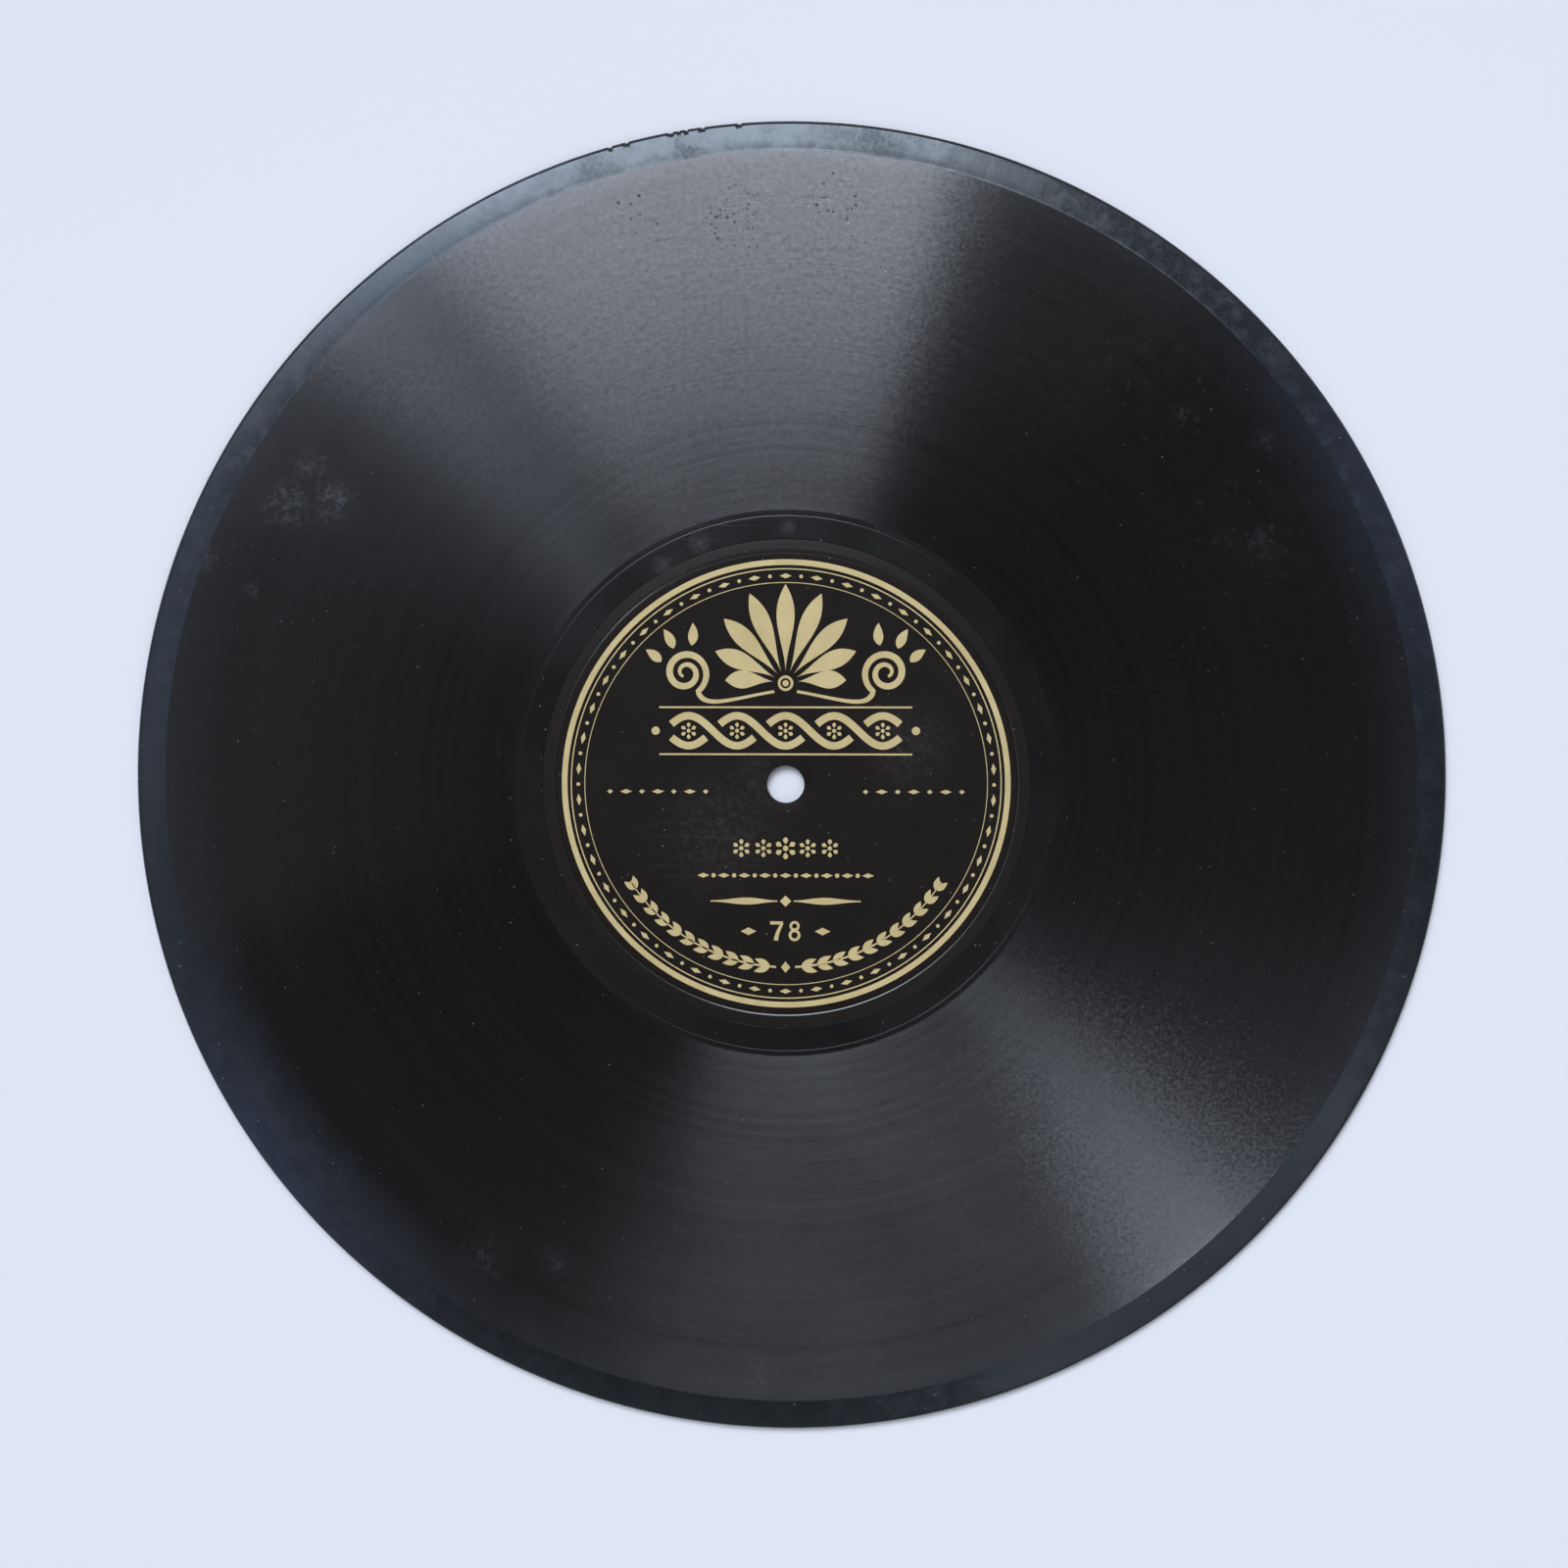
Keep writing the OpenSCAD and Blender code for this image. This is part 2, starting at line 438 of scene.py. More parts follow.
def groove_look():
    """The playing face: fine grooves, which spread light across themselves and hold it tight along."""
    look = Look("shellac_grooves")
    # Bands where the recording was loud or soft, nearly but not quite even round the disc
    unevenness = 0.004
    ring = look.vector(look.r, look.times(look.x, unevenness), look.times(look.y, unevenness))
    bands = look.noise(ring, scale=0.42, detail=3.0, rough=0.6)
    turns = look.noise(ring, scale=2.3, detail=2.0, rough=0.7)
    cloud = look.noise(look.mm, scale=0.035, detail=4.0, rough=0.6)
    # Old haze and handling marks
    speckle = look.span(look.noise(look.mm, scale=0.75, detail=5.0, rough=0.75), 0.42, 0.68)
    blotch = look.span(look.noise(look.mm, scale=0.14, detail=3.0, rough=0.6), 0.42, 0.62)
    hazy = look.most(look.marks(HAZY), look.times(look.marks(FAINTLY_HAZY), 0.35))
    haze = look.times(hazy, look.span(speckle, 0.0, 1.0, 0.08, 0.8))
    stained = look.marks(STAINED)
    stain = look.times(stained, look.span(blotch, 0.0, 1.0, 0.4, 1.0))
    flecks = look.most(look.specks(spacing=3.4, share=0.4, radius=0.9),
                       look.specks(spacing=2.1, share=0.3, radius=0.5))
    flecks = look.times(flecks, stained, speckle)
    pits = look.most(look.specks(spacing=1.9, share=0.22, radius=0.42),
                     look.specks(spacing=0.9, share=0.16, radius=0.26))
    pits = look.times(pits, look.span(look.marks(PITTED), 0.0, 0.4))
    scratch = look.most(look.hairlines(turn=24, threshold=0.63), look.hairlines(turn=-63, threshold=0.66))
    dust = look.most(look.specks(spacing=9.0, share=0.22, radius=0.18),
                     look.specks(spacing=4.0, share=0.1, radius=0.12))
    colour = look.mix(look.span(bands, 0.3, 0.7, smooth=False), SHELLAC, SHELLAC_LOUD)
    colour = filmed_with_sheen(look, colour)
    colour = look.mix(look.times(stain, 0.22), colour, STAIN)
    colour = look.mix(flecks, colour, FLECK)
    colour = look.mix(haze, colour, HAZE)
    colour = look.mix(look.times(scratch, 0.08), colour, GROOVE_SCRATCH)
    colour = look.mix(look.times(dust, 0.5), colour, GROOVE_DUST)
    # The outer turns are worn more than the inner ones
    rough = look.plus(look.span(look.r, GROOVE_END_R, MARGIN_R, 0.182, 0.22, smooth=False),
                      look.span(bands, 0.25, 0.75, -0.012, 0.012, smooth=False),
                      look.span(cloud, 0.3, 0.7, -0.008, 0.008),
                      look.times(haze, 0.06))
    # The walls of the outer turns are more uneven, and pits lean most of all
    grain = look.minus(look.noise(look.mm, scale=1.0, detail=2.0, rough=0.8), 0.5)
    wobble = look.times(grain, look.span(look.r, 60.0, 112.0, 0.09, 0.15))
    wobble = look.minus(wobble, look.times(pits, 0.27))
    # The side light at the lower right brings out the grain of the groove's walls
    walls = look.minus(look.noise(look.mm, scale=1.5, detail=2.0, rough=0.7), 0.5)
    waver = look.times(walls, look.span(look.spot(*GRAINY), 0.0, 0.8, 0.03, 0.075))
    normal = look.dished(GROOVE_END_R, MARGIN_R, 3.0, 0.8, wobble, waver)
    normal = look.bump(turns, strength=0.22, distance=0.05, over=normal)
    tangent = look.node("ShaderNodeTangent", direction_type="RADIAL", axis="Z")
    look.set(Base_Color=colour, Roughness=rough, Normal=normal, Tangent=tangent.outputs[0],
             Anisotropic=1.0, Anisotropic_Rotation=0.25, Specular_IOR_Level=0.62)
    return look.material


def margin_look():
    """Bare pressed shellac of the margin and the rim, with a painted bluish sheen and a painted highlight
    along the step at its inner edge.
    """
    look = Look("shellac_margin")
    cloud = look.noise(look.mm, scale=0.06, detail=4.0, rough=0.6)
    mottle = look.noise(look.mm, scale=0.3, detail=2.0, rough=0.6)
    fine = look.noise(look.mm, scale=1.6, detail=3.0, rough=0.6)
    scuff = look.noise(look.stretch((0.3, 0.9, 1.0), 20), scale=1.0, detail=5.0, rough=0.75)
    scuff = look.times(look.span(scuff, 0.6, 0.72), look.span(look.r, SCUFF_START_R, SCUFF_END_R))
    # A pale line of painted highlight along the step between the playing face and the margin, at the top
    # and upper right only
    step = look.times(look.ring(MARGIN_R + 0.1, 0.5), look.marks(LIT_STEP_SPOTS))
    dust = look.most(look.specks(spacing=7.0, share=0.3, radius=0.2),
                     look.specks(spacing=3.4, share=0.12, radius=0.13))
    colour = look.mix(cloud, SHELLAC, SHELLAC_CLOUD)
    colour = filmed_with_sheen(look, colour)
    # Painted bluish sheen at both sides of the margin, standing in for reflected daylight
    colour = look.mix(look.times(look.marks(MARGIN_SHEEN_SPOTS), 0.45), colour, PAINTED_SHEEN)
    colour = look.mix(look.times(step, 0.6), colour, STEP_HIGHLIGHT)
    colour = look.mix(look.times(scuff, 0.5), colour, SCUFF)
    colour = look.mix(look.times(dust, 0.6), colour, SHELLAC_DUST)
    rough = look.plus(look.span(cloud, 0.25, 0.75, 0.16, 0.23, smooth=False),
                      look.times(scuff, 0.2),
                      look.span(mottle, 0.35, 0.75, -0.03, 0.07),
                      look.span(fine, 0.4, 0.75, -0.01, 0.05),
                      look.times(look.marks(MARGIN_WORN), look.span(fine, 0.25, 0.8, 0.05, 0.15)),
                      look.times(look.spot(*MARGIN_DULL), 0.45))
    normal = look.bump(fine, strength=0.05, distance=0.05)
    normal = look.bump(cloud, strength=0.12, distance=0.3, over=normal)
    normal = look.bump(mottle, strength=0.35, distance=0.05, over=normal)
    look.set(Base_Color=colour, Roughness=rough, Normal=normal, Specular_IOR_Level=0.5,
             Specular_Tint=MARGIN_SHINE)
    return look.material


def land_look():
    """Bare pressed shellac of the land round the label and of the stop groove, with a few pale smudges."""
    look = Look("shellac_land")
    cloud = look.noise(look.mm, scale=0.06, detail=4.0, rough=0.6)
    fine = look.noise(look.mm, scale=1.6, detail=3.0, rough=0.6)
    smudge = look.times(look.marks(SMUDGED), look.span(fine, 0.35, 0.65, 0.2, 1.0))
    scratch = look.hairlines(turn=12, threshold=0.62)
    dust = look.most(look.specks(spacing=6.0, share=0.3, radius=0.2),
                     look.specks(spacing=3.4, share=0.12, radius=0.13))
    colour = look.mix(cloud, LAND, LAND_CLOUD)
    colour = look.mix(look.times(look.spot(*FADED), 0.7), colour, LAND_FADED)
    colour = look.mix(look.times(smudge, 0.7), colour, SMUDGE)
    colour = look.mix(look.times(scratch, 0.15), colour, LAND_SCRATCH)
    colour = look.mix(look.times(dust, 0.6), colour, SHELLAC_DUST)
    rough = look.plus(look.span(cloud, 0.25, 0.75, 0.16, 0.23, smooth=False), look.times(scratch, 0.1))
    normal = look.bump(fine, strength=0.05, distance=0.05)
    normal = look.bump(cloud, strength=0.12, distance=0.3, over=normal)
    look.set(Base_Color=colour, Roughness=rough, Normal=normal, Specular_IOR_Level=0.36)
    return look.material


def paper_look():
    """Brown-black label paper, pressed into the hot disc, with scuffs and dust."""
    look = Look("label_paper")
    fibre = look.noise(look.stretch((0.6, 5.0, 1.0), 14), scale=1.0, detail=4.0, rough=0.7)
    pulp = look.noise(look.mm, scale=3.2, detail=4.0, rough=0.65)
    cloud = look.noise(look.mm, scale=0.07, detail=3.0, rough=0.6)
    grain = look.noise(look.mm, scale=0.85, detail=6.0, rough=0.8)
    rub = look.times(look.marks(RUBBED), look.span(grain, 0.42, 0.7, 0.12, 1.0))
    scratch = look.hairlines(turn=38, threshold=0.64)
    dust = look.most(look.specks(spacing=4.0, share=0.12, radius=0.15),
                     look.specks(spacing=2.2, share=0.05, radius=0.1))
    pressed = look.ring(LABEL_RING_R, 0.9)
    edge = look.span(look.r, LABEL_RING_R, LABEL_RING_R + 0.8)
    colour = look.mix(look.span(fibre, 0.3, 0.7, smooth=False), PAPER, PAPER_FIBRE)
    colour = look.mix(look.span(cloud, 0.35, 0.7, 0.0, 0.35), colour, PAPER_CLOUD)
    colour = look.mix(look.times(edge, 0.8), colour, PAPER_BORDER)
    colour = look.mix(look.times(rub, 0.34), colour, PAPER_RUBBED)
    colour = look.mix(look.times(scratch, 0.4), colour, PAPER_SCRATCH)
    colour = look.mix(look.times(dust, 0.75), colour, PAPER_DUST)
    smoothed = look.plus(look.times(pressed, 0.2), look.times(edge, 0.16))
    rough = look.minus(look.span(pulp, 0.3, 0.7, 0.44, 0.56, smooth=False), smoothed)
    normal = look.dished(LABEL_RING_R + 0.2, LABEL_RING_R + 0.9, 0.0, 6.0)
    normal = look.bump(fibre, strength=0.1, distance=0.04, over=normal)
    normal = look.bump(pulp, strength=0.16, distance=0.05, over=normal)
    # The outer wall of the pressed ring took a polish from the press
    polish = look.times(look.span(look.r, LABEL_RING_R, LABEL_RING_R + 0.08),
                        look.span(look.r, LABEL_RING_R + 0.3, LABEL_RING_R + 0.4, 1.0, 0.0))
    look.set(Base_Color=colour, Roughness=rough, Normal=normal, Specular_IOR_Level=0.06,
             Coat_Weight=polish, Coat_Roughness=0.16)
    return look.material


def ink_look():
    """Flat gold printing ink, thin enough for the paper's grain to show."""
    look = Look("gold_ink")
    grain = look.noise(look.mm, scale=5.0, detail=4.0, rough=0.7)
    cloud = look.noise(look.mm, scale=0.16, detail=3.0, rough=0.6)
    worn = look.span(look.noise(look.mm, scale=2.4, detail=6.0, rough=0.8), 0.62, 0.7)
    colour = look.mix(look.span(cloud, 0.3, 0.7), GOLD, GOLD_LIGHT)
    colour = look.mix(look.span(grain, 0.35, 0.75, 0.0, 0.45), colour, GOLD_DARK)
    colour = look.mix(look.times(worn, 0.7), colour, GOLD_WORN)
    rough = look.span(grain, 0.3, 0.7, 0.46, 0.6, smooth=False)
    look.set(Base_Color=colour, Roughness=rough, Normal=look.bump(grain, strength=0.12, distance=0.03),
             Metallic=0.12, Specular_IOR_Level=0.45)
    return look.material


grooves = groove_look()
margin = margin_look()
land = land_look()
paper = paper_look()
ink = ink_look()


# The disc

def half_profile():
    """(radius, depth below the face) from the spindle hole to the end of the crowned margin."""
    seat = LABEL_SINK + LABEL_T
    line = [(r, seat) for r in (HOLE_R, 12.0, 30.0, LABEL_R - EDGE, LABEL_R)]
    # A small round at the edge of the seat
    line += [(LABEL_R + SEAT_ROUND / 3, SEAT_ROUND), (LABEL_R + SEAT_ROUND, 0.0)]
    line += [(LABEL_R + EDGE / 2, 0.0), (LABEL_R + 2 * EDGE, 0.0)]
    line += [(r, 0.0) for r in spaced(LABEL_R + 1.0, STOP_GROOVE_R - 4 * EDGE, 1.0)]
    line += [(r, dip(r, STOP_GROOVE_R, STOP_GROOVE_W, STOP_GROOVE_DEPTH))
             for r in spaced(STOP_GROOVE_R - EDGE, STOP_GROOVE_R + EDGE, EDGE / 4)]
    line += [(STOP_GROOVE_R + 0.35, 0.0), (GROOVE_END_R - EDGE, 0.0)]
    line += [(r, 0.0) for r in spaced(GROOVE_END_R, MARGIN_R - EDGE, 2.6)]
    # The playing face stands a hair above the margin
    line += [(MARGIN_R + 0.15, STEP)]
    crown_end = MARGIN_R + (RIM_AT - MARGIN_R) * CROWN_R / (CROWN_R - RIM_R)
    line += [(r, max(STEP, CROWN_R - math.sqrt(CROWN_R ** 2 - (r - MARGIN_R) ** 2)))
             for r in spaced(MARGIN_R + 0.6, crown_end, 0.5)]
    return line


def rim_points():
    """(radius, height above the middle) along the rim's upper quarter, from the margin out."""
    count = 9
    start = math.asin((RIM_AT - MARGIN_R) / (CROWN_R - RIM_R))
    turns = [start + (math.pi / 2 - start) * i / count for i in range(1, count + 1)]
    return [(RIM_AT + RIM_R * math.sin(turn), RIM_R * math.cos(turn)) for turn in turns]


def disc_profile():
    """Closed section of the disc: out along side B, round the rim and back along side A."""
    upper = [(r, DISC_T - depth) for r, depth in half_profile()]
    upper += [(r, DISC_T / 2 + height) for r, height in rim_points()]
    lower = [(r, DISC_T - z) for r, z in reversed(upper[:-1])]
    return (upper + lower)[::-1]


# Chips on the rim: direction in degrees clockwise from +Y, width in degrees and bite in millimetres
CHIPS = [(-15.4, 0.35, 0.24), (-13.9, 0.35, 0.2), (-10.0, 0.45, 0.22), (-9.3, 0.2, 0.14),
         (-8.6, 0.25, 0.22), (-7.2, 0.35, 0.22), (-4.0, 0.4, 0.2)]
# Where a chip starts, how far out it has its full bite, its lowest point and its drop beside its bite
CHIP_START_R = RIM_AT - 0.2
CHIP_RUN = 0.6
CHIP_LOW = DISC_T * 0.35
CHIP_DROP = 0.6


def chipped(r, z, turn):
    """Bites out of the upper half of the round rim."""
    if r < CHIP_START_R or z < CHIP_LOW:
        return r, z
    heading = 90 - math.degrees(turn)
    for at, width, bite in CHIPS:
        away = abs((heading - at + 180) % 360 - 180) / (width / 2)
        if away < 1:
            depth = bite * (1 - away ** 4) * min(1.0, (r - CHIP_START_R) / CHIP_RUN)
            return r - depth, z - CHIP_DROP * depth
    return r, z


def disc_turns():
    """Directions of the disc's points in radians: even steps, with close ones at the chips."""
    digits = 6
    turns = {round(turn, digits) for turn in round_turns(DISC_SEGMENTS)}
    for at, width, _ in CHIPS:
        for k in range(-5, 6):
            turns.add(round(math.radians(90 - at + width * k / 10) % FULL_TURN, digits))
    return sorted(turns)


LAND_SLOT, GROOVE_SLOT, MARGIN_SLOT = range(3)


def disc_slot(a, b):
    """Land inside the last turn, then the playing face, then the margin."""
    if min(a[0], b[0]) < GROOVE_END_R:
        return LAND_SLOT
    return GROOVE_SLOT if max(a[0], b[0]) <= MARGIN_R else MARGIN_SLOT


disc = revolve("shellac_disc_pressed", disc_profile(), disc_turns(), [land, grooves, margin], disc_slot,
               chipped)
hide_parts("shellac_disc")
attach(disc, "root")


# The labels

def label_profile():
    """Closed section of the paper of side A: pressed ring, border that falls away to a thin edge."""
    top = DISC_T - LABEL_SINK
    seat = top - LABEL_T
    hole = HOLE_R + LABEL_HOLE_CLEAR
    out = LABEL_R - LABEL_SEAT_CLEAR
    ring_start = LABEL_RING_R - LABEL_RING_W / 2
    ring_end = LABEL_RING_R + LABEL_RING_W / 2
    line = [(hole, seat), (hole, top - 0.02), (HOLE_R + 0.05, top)]
    line += [(r, top) for r in spaced(6.0, LABEL_RING_R - 1.2, 6.0)]
    line += [(r, top - dip(r, LABEL_RING_R, LABEL_RING_W, LABEL_RING_DEPTH))
             for r in spaced(ring_start, ring_end, LABEL_RING_W / 10)]
    line += [(r, top - BORDER_FALL * ((r - ring_end) / (out - ring_end)) ** 1.5)
             for r in spaced(LABEL_RING_R + 0.6, out - 0.08, 0.45)]
    line += [(out, top - 0.05), (out, seat)]
    return line[::-1]


def turned_over(piece):
    """Turns a piece made for side A over on to side B, about the X axis."""
    for vert in piece.data.vertices:
        x, y, z = vert.co
        vert.co = (x, -y, DISC_T * MM - z)
    piece.data.update()


def label(side):
    piece = revolve(f"label_{side}_paper", label_profile(), round_turns(LABEL_SEGMENTS), [paper])
    if side == "b":
        turned_over(piece)
    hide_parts(f"label_side_{side}")
    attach(piece, "root")


# The print on the labels

class Ink:
    """Thin flat shapes of printing ink, drawn in the plane of the label in millimetres."""

    def __init__(self):
        self.low = DISC_T - LABEL_SINK - INK_ROOT
        self.high = DISC_T - INK_SINK
        self.verts, self.faces = [], []
        self.shapes = 0

    def strip(self, left, right, closed=False):
        """A band between two lines of points, closed below and at its sides.

        Each shape lies a little lower or higher than the last, so that shapes that meet share no plane.
        """
        count, base = len(left), len(self.verts)
        high = self.high - INK_LAYER * (self.shapes % INK_LAYERS)
        self.shapes += 1
        for a, b in zip(left, right):
            self.verts += [(*a, high), (*b, high), (*b, self.low), (*a, self.low)]
        for i in range(count if closed else count - 1):
            a, b = base + 4 * i, base + 4 * ((i + 1) % count)
            for k in range(4):
                m = (k + 1) % 4
                self.faces.append((a + k, a + m, b + m, b + k))
        if not closed:
            end = base + 4 * (count - 1)
            self.faces += [(base + 3, base + 2, base + 1, base), (end, end + 1, end + 2, end + 3)]

    def ring(self, inner, outer, x=0.0, y=0.0, count=240):
        turns = round_turns(count)
        self.strip([(x + outer * math.cos(t), y + outer * math.sin(t)) for t in turns],
                   [(x + inner * math.cos(t), y + inner * math.sin(t)) for t in turns], closed=True)

    def dot(self, x, y, radius, count=14):
        turns = [math.pi * i / count for i in range(count + 1)]
        self.strip([(x + radius * math.cos(t), y + radius * math.sin(t)) for t in turns],
                   [(x + radius * math.cos(t), y - radius * math.sin(t)) for t in turns])

    def stroke(self, path, width):
        """A line of changing width: width is a function of the share of the way along."""
        left, right = [], []
        last = len(path) - 1
        for i, (x, y) in enumerate(path):
            a, b = path[max(i - 1, 0)], path[min(i + 1, last)]
            dx, dy = b[0] - a[0], b[1] - a[1]
            size = math.hypot(dx, dy) or 1.0
            half = max(width(i / last), THINNEST_STROKE) / 2
            left.append((x - dy / size * half, y + dx / size * half))
            right.append((x + dy / size * half, y - dx / size * half))
        self.strip(left, right)

    def leaf(self, x, y, heading, length, width, bend=0.0, swell=0.8, count=14):
        """A pointed leaf from its foot.

        The heading is in degrees anticlockwise from +X, and the bend is added on the way. A swell over 1
        puts its widest part nearer to the tip.
        """
        path = [(x, y)]
        for i in range(count):
            turn = math.radians(heading + bend * (i + 0.5) / count)
            x += length / count * math.cos(turn)
            y += length / count * math.sin(turn)
            path.append((x, y))
        self.stroke(path, lambda s: width * math.sin(math.pi * s ** swell) ** 0.9 if 0 < s < 1 else 0.0)

    def lozenge(self, x, y, length, width, heading=0.0):
        reach_x = length / 2 * math.cos(math.radians(heading))
        reach_y = length / 2 * math.sin(math.radians(heading))
        ends = [(x + s * reach_x, y + s * reach_y) for s in (-1, 0, 1)]
        self.stroke(ends, lambda s: width * (1 - abs(2 * s - 1)))

    def flower(self, x, y, size):
        """A dot with six petals round it."""
        self.dot(x, y, size * 0.13)
        for heading in range(30, 390, 60):
            foot_x = x + size * 0.2 * math.cos(math.radians(heading))
            foot_y = y + size * 0.2 * math.sin(math.radians(heading))
            self.leaf(foot_x, foot_y, heading, size * 0.34, size * 0.25, swell=1.3, count=10)

    def piece(self, name):
        made = new_piece(name, self.verts, self.faces, [ink], smooth=False)
        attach(made, "root")
        return made


def curve(a, b, c, d, count=24):
    """Points on a cubic curve between a and d."""
    points = []
    for i in range(count + 1):
        t = i / count
        weights = ((1 - t) ** 3, 3 * t * (1 - t) ** 2, 3 * t ** 2 * (1 - t), t ** 3)
        points.append(tuple(sum(w * p[n] for w, p in zip(weights, (a, b, c, d))) for n in (0, 1)))
    return points


def even(width):
    """The same width all along a stroke."""
    return lambda s: width


# Length and width of the small lozenges, and radii of the small dots and of the sprays' stems
LOZENGE = (2.3, 0.95)
BEAD_R = 0.36
DOT_R = 0.42
SPRAY_R = 35.6
# Small leaves over the right scroll: x and y of the foot, heading and length
SCROLL_LEAVES = ((24.1, 23.7, 50, 3.8), (21.7, 26.3, 74, 4.2), (18.2, 26.9, 104, 4.4))


def border(art):
    """Plain gold rings round the label, with a band of beads and small lozenges between them."""
    bold_ring, thin_ring, inner_ring = (42.4, 43.5), (41.55, 41.78), (38.95, 39.1)
    beads = 84
    bead_ring_r = 40.3
    art.ring(*bold_ring)
    art.ring(*thin_ring)
    for k, turn in enumerate(round_turns(beads)):
        x = bead_ring_r * math.cos(turn)
        y = bead_ring_r * math.sin(turn)
        if k % 2:
            art.lozenge(x, y, *LOZENGE, math.degrees(turn) + 90)
        else:
            art.dot(x, y, BEAD_R)
    art.ring(*inner_ring)


def palmette(art):
    """A fan of leaves between two scrolls, in the upper half."""
    foot = 19.6
    foot_r = 2.5
    for k in range(-4, 5):
        lean = 20.5 * k
        x = foot_r * math.sin(math.radians(lean))
        y = foot + foot_r * math.cos(math.radians(lean))
        length = 16.6 - 0.46 * k * k
        art.leaf(x, y, 90 - lean, length, width=3.5, bend=-0.16 * lean, swell=1.6, count=18)
    art.ring(1.0, 1.5, y=foot, count=40)
    art.dot(0.0, foot, 0.6)
    for side in (-1, 1):
        scroll(art, side, foot)
        for x, y, heading, length in SCROLL_LEAVES:
            heading = heading if side > 0 else 180 - heading
            art.leaf(side * x, y, heading, length, width=1.9, bend=-22 * side)


def scroll(art, side, foot):
    """A spiral that runs on into a stem to the foot of the fan."""
    eye_x, eye_y = 19.4, 21.6
    steps = 57
    spiral = []
    for i in range(steps + 1):
        turn = math.radians(-60 + 11.5 * i)
        reach = 0.75 + 3.6 * (i / steps)
        spiral.append((side * (eye_x + reach * math.cos(turn)), eye_y + reach * math.sin(turn)))
    end = spiral[-1]
    stem = curve(end, (end[0] - side * 1.0, end[1] - 3.6), (side * 10.5, foot - 3.0),
                 (side * 2.2, foot - 1.6))
    art.stroke(spiral + stem[1:], lambda s: 0.55 + 0.75 * math.sin(math.pi * min(s * 1.05, 1.0)) ** 1.3)


def plait(art):
    """A two-strand plait with a flower in each loop, between two rules above the spindle hole."""
    middle, swing, loop, loops = 10.4, 2.9, 9.4, 5
    half = loop * loops / 2
    gap = 1.2
    steps = 240
    strand_width = even(1.45)
    for strand in (-1, 1):
        run = []
        for i in range(steps + 1):
            x = -half + 2 * half * i / steps
            crossing = round((x + half) / loop)
            at_end = crossing in (0, loops)
            under = at_end or (crossing % 2 == 0) == (strand > 0)
            if under and abs(x + half - crossing * loop) < gap:
                if len(run) > 2:
                    art.stroke(run, strand_width)
                run = []
                continue
            run.append((x, middle + strand * swing * math.sin(math.pi * (x + half) / loop)))
        art.stroke(run, strand_width)
    for k in range(loops):
        art.flower(-half + (k + 0.5) * loop, middle, size=3.0)
    for end in (-1, 1):
        art.dot(end * (half + 1.7), middle, radius=0.8)
    rule_reach, rule_away, rule_width = 24.5, 4.55, 0.34
    for y in (middle - rule_away, middle + rule_away):
        art.stroke([(-rule_reach, y), (rule_reach, y)], even(rule_width))


def ornament_rows(art):
    """Rows of small ornament of the size of lines of print."""
    beside_hole_y, flowers_y, beads_y, rule_y, beside_speed_y = -1.4, -12.4, -17.7, -22.7, -28.6
    for side in (-1, 1):
        for k in range(7):
            art.lozenge(side * (15.5 + 3.1 * k), beside_hole_y, length=2.3 if k % 2 else 1.1, width=0.9)
    for k in range(-2, 3):
        art.flower(4.3 * k, flowers_y, size=4.0 if k == 0 else 3.3)
    for k in range(-8, 9):
        if k % 2:
            art.dot(2.0 * k, beads_y, DOT_R)
        else:
            art.lozenge(2.0 * k, beads_y, *LOZENGE)
    for side in (-1, 1):
        art.stroke([(side * x, rule_y) for x in spaced(1.6, 14.6, 0.65)],
                   lambda s: 0.25 + 1.5 * math.sin(math.pi * s) ** 2 * (1 - 0.55 * s))
        art.lozenge(side * 7.2, beside_speed_y, length=3.0, width=1.5)
    art.lozenge(0.0, rule_y, length=2.2, width=2.2)


def speed(art):
    """The speed in turns a minute, 78."""
    # 7
    art.stroke([(-3.0, -26.95), (-0.55, -26.95)], even(0.62))
    down = curve((-0.6, -26.9), (-1.1, -28.0), (-1.8, -29.0), (-1.85, -30.4), 12)
    art.stroke(down, lambda s: 0.5 + 0.35 * s)
    # 8
    art.ring(0.5, 0.98, x=1.75, y=-27.55, count=36)
    art.ring(0.62, 1.16, x=1.75, y=-29.35, count=40)


def on_spray(side, degrees):
    """A point of a spray's stem, so many degrees up from the lowest point of the label."""
    turn = math.radians(degrees)
    return side * SPRAY_R * math.sin(turn), -SPRAY_R * math.cos(turn)


def spray(art):
    """Two sprays of leaves that follow the border from the lowest point up to both sides."""
    for side in (-1, 1):
        art.stroke([on_spray(side, degrees) for degrees in range(3, 59)], lambda s: 0.42 - 0.22 * s)
        for degrees in range(5, 58, 5):
            along = degrees if side > 0 else 180 - degrees
            for lean in (-30, 30):
                art.leaf(*on_spray(side, degrees), along + lean, length=3.3 - 0.012 * degrees, width=1.25,
                         bend=-lean * 0.5)
    art.lozenge(0.0, -SPRAY_R, length=1.8, width=2.2)


def printing(side):
    art = Ink()
    border(art)
    palmette(art)
    plait(art)
    ornament_rows(art)
    speed(art)
    spray(art)
    piece = art.piece(f"label_{side}_print")
    if side == "b":
        turned_over(piece)


for face in ("a", "b"):
    label(face)
    printing(face)


# Floor, light and camera

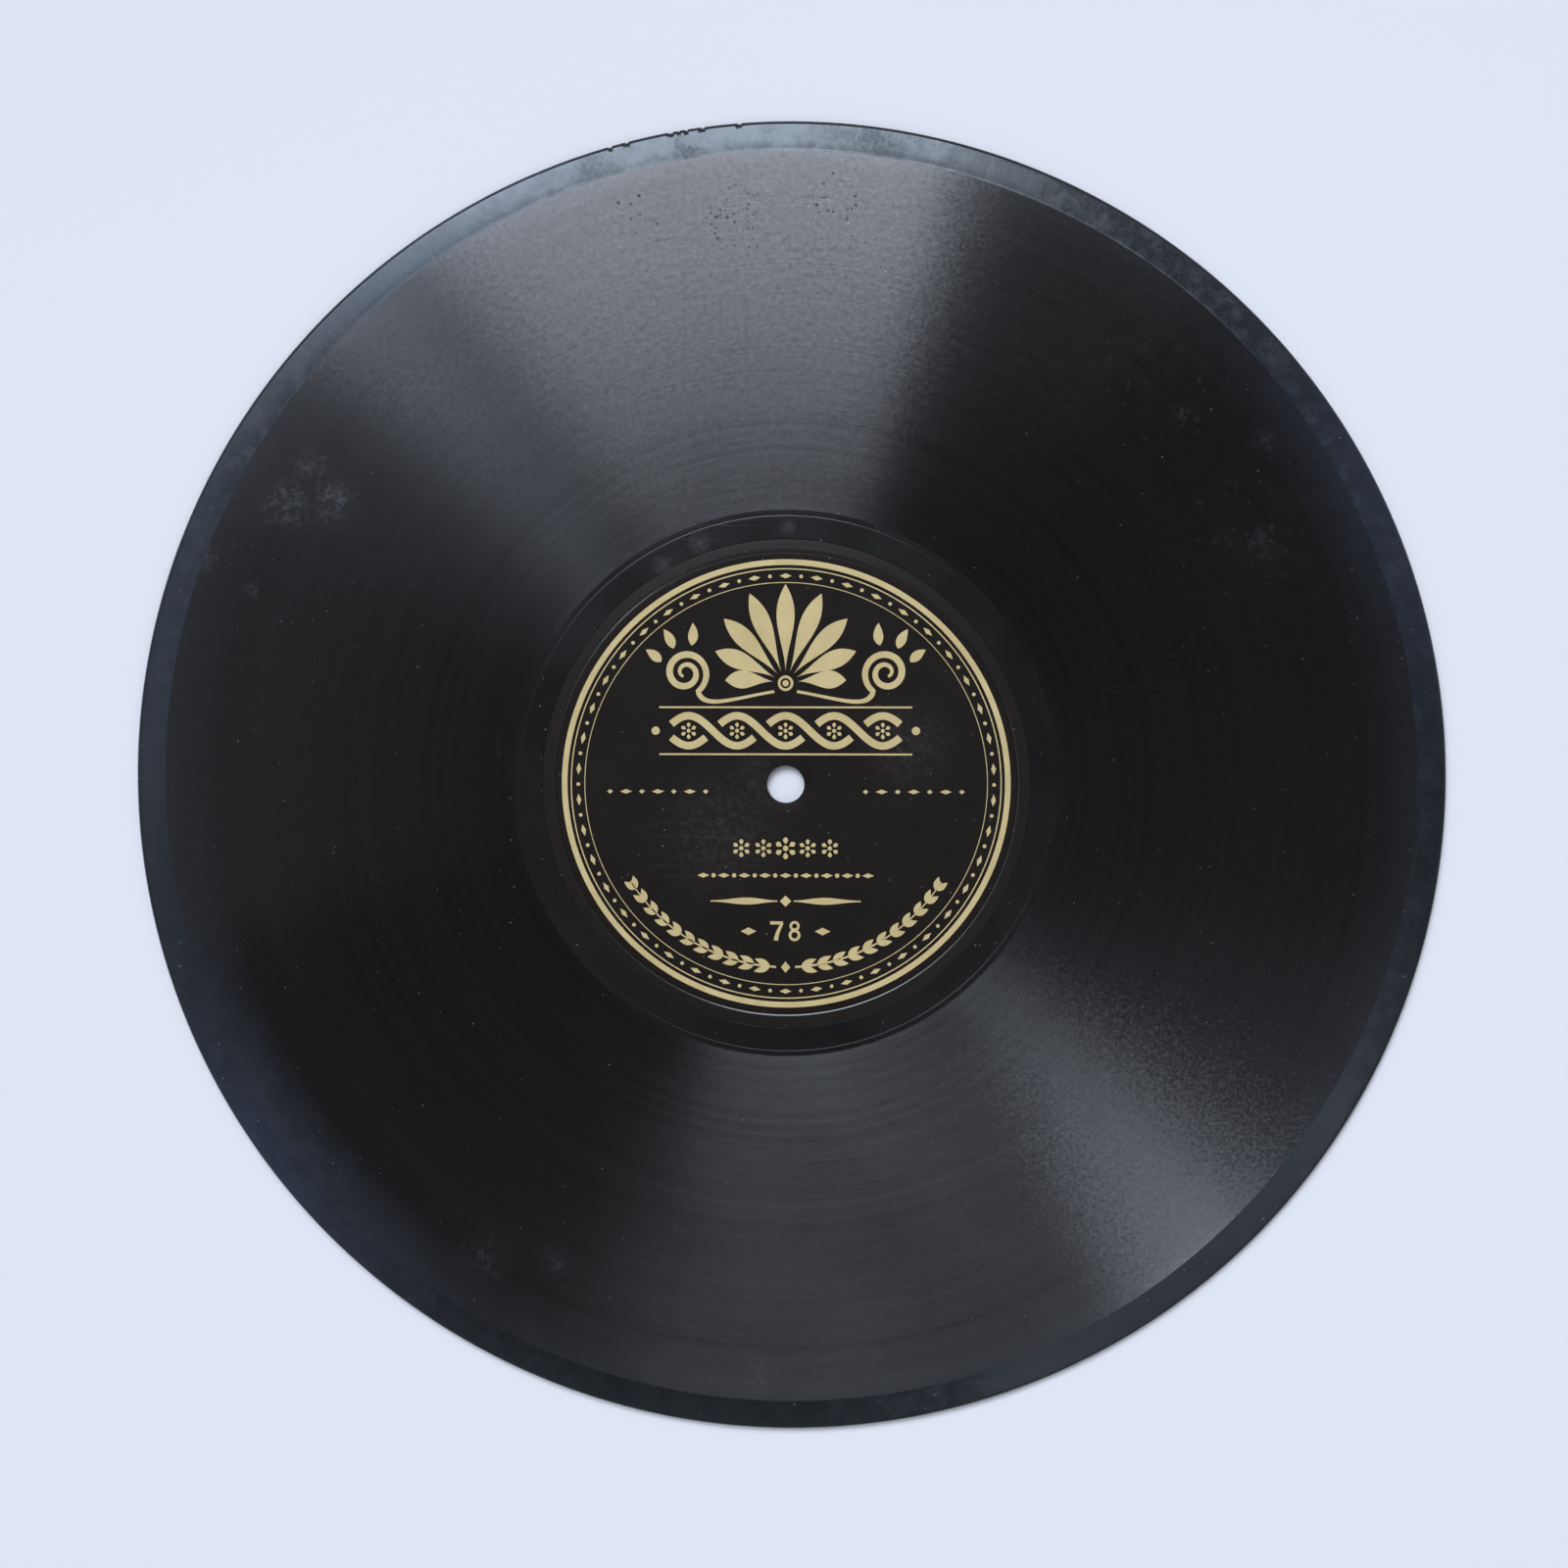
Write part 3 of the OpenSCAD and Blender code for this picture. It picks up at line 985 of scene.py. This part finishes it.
def floor():
    look = Look("floor_paper")
    tone = look.noise(look.mm, scale=0.004, detail=2.0, rough=0.5)
    look.set(Base_Color=look.mix(tone, FLOOR_DIM, FLOOR_PALE), Roughness=0.85, Specular_IOR_Level=0.15)
    reach = 4000.0
    z = -0.15
    corners = [(-reach, -reach, z), (reach, -reach, z), (reach, reach, z), (-reach, reach, z)]
    plane = new_piece("floor", corners, [(0, 1, 2, 3)], [look.material], smooth=False)


DAYLIGHT = (0.885, 0.95, 1.09)
SHADE_LIGHT = (0.83, 0.935, 1.14)
# Height of the upper edge of every window, in metres
WINDOW_TOP = 4.0


def window(name, azimuth, width, low, distance, radiance, tint, slide=0.0):
    """An upright soft window that faces the disc, in metres; low is the height of its lower edge.

    Azimuth is in degrees clockwise from +Y as seen from above, to the middle of the window or, with a
    slide, to the point of its wall from which it is moved that far to the right.
    """
    turn = math.radians(azimuth)
    height = WINDOW_TOP - low
    data = bpy.data.lights.new(name, "AREA")
    data.shape = "RECTANGLE"
    data.size = width
    data.size_y = height
    # an area lamp of power P and area A shines with P / (pi A)
    data.energy = radiance * math.pi * width * height
    data.color = tint
    lamp = bpy.data.objects.new(name, data)
    lamp.location = (distance * math.sin(turn) + slide * math.cos(turn),
                     distance * math.cos(turn) - slide * math.sin(turn),
                     (low + WINDOW_TOP) / 2)
    lamp.rotation_euler = (math.radians(90), 0.0, math.radians(180) - turn)
    scene.collection.objects.link(lamp)


def world():
    """A dim room that is paler towards the horizon."""
    # Sines of the elevations between which the light of the walls passes into that of the ceiling
    wall_end, ceiling_start = 0.84, 0.985
    wall_light, ceiling_light = 0.28, 0.06
    tint = (0.88, 0.94, 1.0, 1.0)
    made = bpy.data.worlds.new("room")
    scene.world = made
    made.use_nodes = True
    tree = made.node_tree
    place = tree.nodes.new("ShaderNodeTexCoord")
    split = tree.nodes.new("ShaderNodeSeparateXYZ")
    ramp = tree.nodes.new("ShaderNodeMapRange")
    tree.links.new(place.outputs["Generated"], split.inputs[0])
    tree.links.new(split.outputs["Z"], ramp.inputs["Value"])
    ramp.interpolation_type = "SMOOTHSTEP"
    ramp.inputs["From Min"].default_value = wall_end
    ramp.inputs["From Max"].default_value = ceiling_start
    ramp.inputs["To Min"].default_value = wall_light
    ramp.inputs["To Max"].default_value = ceiling_light
    back = tree.nodes["Background"]
    tree.links.new(ramp.outputs["Result"], back.inputs["Strength"])
    back.inputs["Color"].default_value = tint


def camera():
    """From above, half a metre away and a little to the top right of the middle."""
    # Width of the picture and radius of the disc in it, in pixels
    picture_px = 1600
    disc_r_px = 669.0
    sensor = 36.0
    place = Vector((0.018, 0.029, 0.499))
    aim = Vector((-0.0003, 0.0001, DISC_T * MM))
    data = bpy.data.cameras.new("camera")
    data.sensor_width = sensor
    data.sensor_height = sensor
    data.sensor_fit = "HORIZONTAL"
    focal_px = disc_r_px * (place - aim).length / (DISC_R * MM)
    data.lens = focal_px / picture_px * sensor
    data.clip_start = 0.01
    look = (aim - place).normalized()
    right = look.cross(Vector((0.0, 1.0, 0.0))).normalized()
    up = right.cross(look)
    seen = bpy.data.objects.new("camera", data)
    seen.matrix_world = Matrix.Translation(place) @ Matrix((right, up, -look)).transposed().to_4x4()
    scene.collection.objects.link(seen)
    scene.camera = seen


floor()
world()

# The main window has panes side by side, brighter to the right
PANE_W = 0.204
PANES = (9.2, 9.8, 10.4, 10.8)
for pane, radiance in enumerate(PANES):
    slide = PANE_W * (pane - (len(PANES) - 1) / 2)
    window(f"window_main_{pane + 1}", azimuth=-14.1, width=PANE_W, low=0.87, distance=0.80,
           radiance=radiance, tint=DAYLIGHT, slide=slide)
window("window_side", azimuth=-51.0, width=0.155, low=0.95, distance=0.88, radiance=4.1, tint=SHADE_LIGHT)
window("window_far", azimuth=147.0, width=0.20, low=0.95, distance=0.88, radiance=4.8, tint=DAYLIGHT)
window("wall_glow", azimuth=-15, width=2.8, low=0.87, distance=0.92, radiance=0.5, tint=DAYLIGHT)
window("fill_left", azimuth=-86, width=0.95, low=1.6, distance=1.0, radiance=0.38, tint=DAYLIGHT)
window("fill_right", azimuth=140, width=0.9, low=1.6, distance=1.0, radiance=0.3, tint=SHADE_LIGHT)
camera()

scene.view_settings.view_transform = "Standard"
